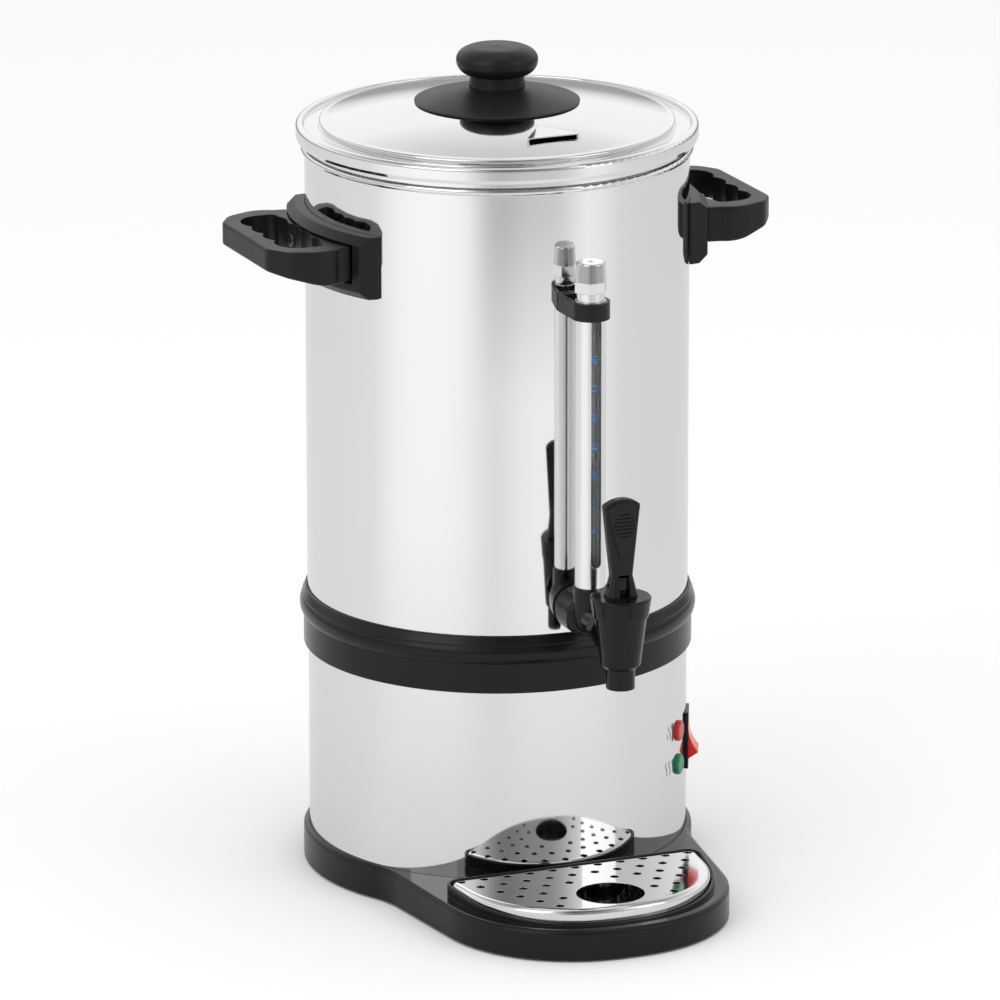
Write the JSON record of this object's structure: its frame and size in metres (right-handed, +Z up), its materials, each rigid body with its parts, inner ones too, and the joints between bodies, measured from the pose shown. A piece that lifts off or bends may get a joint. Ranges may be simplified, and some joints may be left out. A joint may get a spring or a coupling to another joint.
{
  "type": "coffee urn",
  "caption": "Tall polished steel percolator urn on a heater housing, with a lever tap under a tube gauge, side handles, a domed knob lid, a rocker switch and a drip tray",
  "frame": {"origin": "centre of the footprint's bounding box, on the table", "axes": "+Z up, the tap and the drip tray face -Y, +X to the right seen from the front"},
  "size_m": [0.312, 0.3272, 0.4831],
  "materials": {
    "polished_steel": "mirror-polished stainless steel",
    "satin_steel": "satin stainless steel",
    "black_plastic": "fine-textured black heat-resistant plastic",
    "gloss_black": "smooth black plastic",
    "rubber": "black rubber",
    "red_plastic": "smooth translucent red plastic",
    "silicone": "pale food-grade silicone",
    "glass": "clear borosilicate",
    "red_lens": "clear-tinted red lens",
    "green_lens": "clear-tinted green lens",
    "zinc_steel": "zinc-plated steel",
    "heater_metal": "heat-tinted element sheath",
    "ceramic": "cream phenolic",
    "wire": "silicone-sheathed wire"
  },
  "bodies": {
    "urn": {"base_moulding": "black_plastic", "base_screws": "zinc_steel", "boil_element": "heater_metal", "bottom_cover": "zinc_steel", "cord_gland": "black_plastic", "gauge_cap": "satin_steel", "gauge_clamp": "black_plastic", "gauge_collar": "satin_steel", "gauge_elbow": "black_plastic", "gauge_glass": "glass", "gauge_seals": "silicone", "gauge_shield": "satin_steel", "gland_nut": "black_plastic", "handle_nuts": "zinc_steel", "handle_screws": "zinc_steel", "heater_well": "polished_steel", "keep_warm_element": "heater_metal", "lamp_green": "green_lens", "lamp_red": "red_lens", "left_handle_grip": "black_plastic", "left_handle_plate": "black_plastic", "lower_band": "black_plastic", "lower_housing": "polished_steel", "right_handle_grip": "black_plastic", "right_handle_plate": "black_plastic", "rubber_feet": "rubber", "shank_gasket": "rubber", "shank_nut": "satin_steel", "switch_frame": "gloss_black", "tap_body": "black_plastic", "tap_bonnet": "black_plastic", "terminal_block": "ceramic", "thermal_cutout": "ceramic", "thermostat": "ceramic", "tie_nuts": "zinc_steel", "tie_rods": "zinc_steel", "union_nut": "black_plastic", "upper_ring": "black_plastic", "valve_spring": "satin_steel", "vessel": "polished_steel", "wiring": "wire"},
    "stem": {"valve_stem": "black_plastic", "seat_cup": "silicone"},
    "lever": {"tap_lever": "black_plastic", "lever_pin": "satin_steel"},
    "rocker": {"switch_rocker": "red_plastic"},
    "grid": {"drip_grid": "polished_steel"},
    "riser": {"riser_tube": "satin_steel"},
    "basket": {"filter_basket": "satin_steel"},
    "spreader": {"basket_cover": "satin_steel"},
    "lid": {"lid": "polished_steel", "knob_flange": "black_plastic", "lid_knob": "black_plastic", "lid_screw": "zinc_steel", "lid_washer": "zinc_steel"}
  },
  "joints": [
    {"name": "valve_lift", "type": "slide", "parent": "urn", "child": "stem", "axis": [0, 0, 1], "range_m": [0, 0.0038], "deforming": ["valve_spring"]},
    {"name": "lever_tilt", "type": "hinge", "parent": "stem", "child": "lever", "pos_m": [0, -0.131, 0.2102], "axis": [1, 0, 0], "range_deg": [0, 35], "stiffness_Nm_per_rad": 0.4},
    {"name": "switch_tilt", "type": "hinge", "parent": "urn", "child": "rocker", "pos_m": [0.09716, -0.00539, 0.072], "axis": [0.4384, 0.8988, 0], "range_deg": [0, 33.4]},
    {"name": "grid_lift", "type": "slide", "parent": "urn", "child": "grid", "axis": [0, 0, 1], "range_m": [0, 0.05]},
    {"name": "riser_lift", "type": "slide", "parent": "urn", "child": "riser", "axis": [0, 0, 1], "range_m": [0, 0.3]},
    {"name": "basket_lift", "type": "slide", "parent": "riser", "child": "basket", "axis": [0, 0, 1], "range_m": [0, 0.11]},
    {"name": "spreader_lift", "type": "slide", "parent": "basket", "child": "spreader", "axis": [0, 0, 1], "range_m": [0, 0.06]},
    {"name": "lid_lift", "type": "slide", "parent": "spreader", "child": "lid", "axis": [0, 0, 1], "range_m": [0, 0.15]}
  ],
  "couplings": [
    {"joint": "valve_lift", "follows": "lever_tilt", "m_per_rad": 0.006175}
  ]
}
